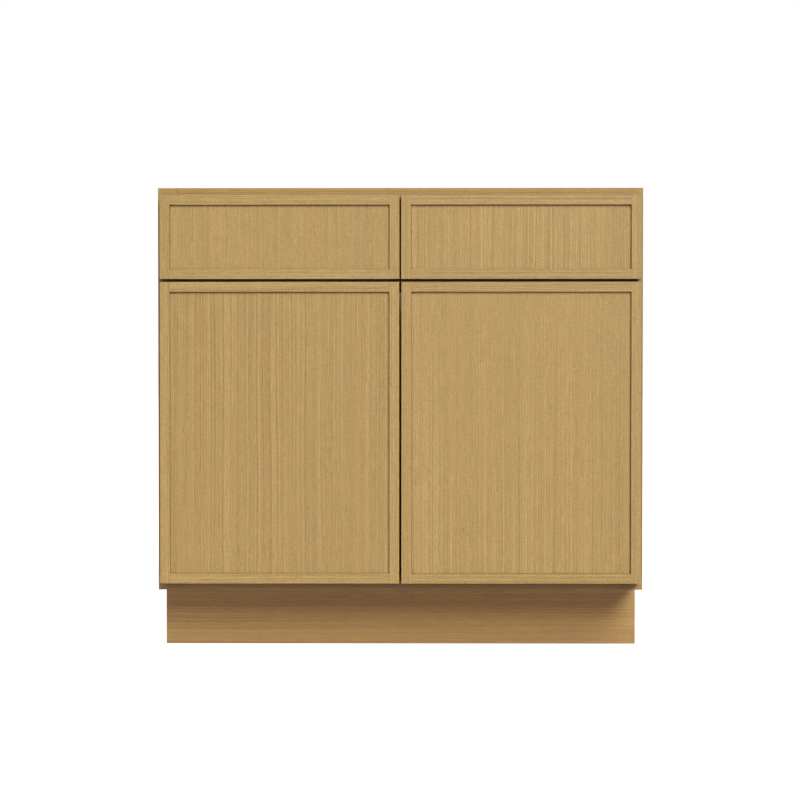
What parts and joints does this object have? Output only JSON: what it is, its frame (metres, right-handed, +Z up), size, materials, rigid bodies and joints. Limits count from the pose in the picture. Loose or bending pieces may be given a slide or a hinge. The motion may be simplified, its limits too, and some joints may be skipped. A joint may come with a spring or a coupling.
{
  "type": "kitchen base cabinet",
  "caption": "Face-frame kitchen base cabinet in light oak with slim-framed flat-panel fronts: drawers over doors, adjustable shelf inside, recessed toe kick, open top",
  "frame": {"origin": "On the floor, under the middle of the bounding box: midway across the width, and midway between the faces of the closed fronts and the back panel", "axes": "+X to the right across the width as one faces the fronts, +Y from the fronts to the back, +Z up"},
  "size_m": [0.9144, 0.6316, 0.8763],
  "materials": {
    "oak_solid": "solid oak, clear satin lacquer",
    "oak_veneer": "oak veneer, clear satin lacquer",
    "birch_ply": "birch plywood, clear matt lacquer",
    "maple_box": "solid maple, clear matt lacquer",
    "beech_dowel": "plain beech",
    "zinc_steel": "bright zinc plate",
    "nickel_steel": "nickel plate",
    "zinc_screw": "zinc-plated screw",
    "cage_plastic": "black nylon",
    "clear_rubber": "translucent soft rubber"
  },
  "bodies": {
    "carcass": {"back_panel": "birch_ply", "bottom_panel": "birch_ply", "bottom_rail": "oak_solid", "carcass_screws": "zinc_screw", "corner_braces": "birch_ply", "drawer_mullion": "oak_solid", "frame_dowels": "beech_dowel", "hanging_rail": "birch_ply", "hinge_arms": "nickel_steel", "hinge_pins": "nickel_steel", "left_side_panel": "oak_veneer", "left_stile": "oak_solid", "mid_rail": "oak_solid", "right_side_panel": "oak_veneer", "right_stile": "oak_solid", "shelf": "birch_ply", "shelf_pins": "nickel_steel", "slide_outer_members": "zinc_steel", "slide_rear_brackets": "zinc_steel", "toe_kick_board": "oak_veneer", "toe_kick_cleat": "birch_ply", "top_rail": "oak_solid"},
    "left_door": {"left_door_stiles": "oak_solid", "left_door_rails": "oak_solid", "left_door_panel": "oak_veneer", "left_door_bumpers": "clear_rubber", "left_hinge_cups": "nickel_steel", "left_cup_screws": "zinc_screw"},
    "right_door": {"right_door_stiles": "oak_solid", "right_door_rails": "oak_solid", "right_door_panel": "oak_veneer", "right_door_bumpers": "clear_rubber", "right_hinge_cups": "nickel_steel", "right_cup_screws": "zinc_screw"},
    "left_drawer": {"left_drawer_front_stiles": "oak_solid", "left_drawer_front_rails": "oak_solid", "left_drawer_front_panel": "oak_veneer", "left_drawer_bumpers": "clear_rubber", "left_drawer_box_left_side": "maple_box", "left_drawer_box_right_side": "maple_box", "left_drawer_box_front": "maple_box", "left_drawer_box_back": "maple_box", "left_drawer_box_bottom": "birch_ply", "left_drawer_screws": "zinc_screw", "left_slide_inner_members": "zinc_steel"},
    "right_drawer": {"right_drawer_front_stiles": "oak_solid", "right_drawer_front_rails": "oak_solid", "right_drawer_front_panel": "oak_veneer", "right_drawer_bumpers": "clear_rubber", "right_drawer_box_left_side": "maple_box", "right_drawer_box_right_side": "maple_box", "right_drawer_box_front": "maple_box", "right_drawer_box_back": "maple_box", "right_drawer_box_bottom": "birch_ply", "right_drawer_screws": "zinc_screw", "right_slide_inner_members": "zinc_steel"},
    "left_slide_middle": {"left_slide_middle_members": "zinc_steel", "left_slide_ball_cages": "cage_plastic"},
    "right_slide_middle": {"right_slide_middle_members": "zinc_steel", "right_slide_ball_cages": "cage_plastic"}
  },
  "joints": [
    {"name": "left_door_hinge", "type": "hinge", "parent": "carcass", "child": "left_door", "pos_m": [-0.4431, -0.30417, 0.4153], "axis": [0, 0, -1], "range_deg": [0, 105]},
    {"name": "right_door_hinge", "type": "hinge", "parent": "carcass", "child": "right_door", "pos_m": [0.4431, -0.30417, 0.4153], "axis": [0, 0, 1], "range_deg": [0, 105]},
    {"name": "left_drawer_slide", "type": "slide", "parent": "carcass", "child": "left_drawer", "axis": [0, -1, 0], "range_m": [0, 0.53]},
    {"name": "left_slide_middle_run", "type": "slide", "parent": "carcass", "child": "left_slide_middle", "axis": [0, -1, 0], "range_m": [0, 0.265]},
    {"name": "right_drawer_slide", "type": "slide", "parent": "carcass", "child": "right_drawer", "axis": [0, -1, 0], "range_m": [0, 0.53]},
    {"name": "right_slide_middle_run", "type": "slide", "parent": "carcass", "child": "right_slide_middle", "axis": [0, -1, 0], "range_m": [0, 0.265]}
  ],
  "couplings": [
    {"joint": "left_slide_middle_run", "follows": "left_drawer_slide", "ratio": 0.5},
    {"joint": "right_slide_middle_run", "follows": "right_drawer_slide", "ratio": 0.5}
  ]
}
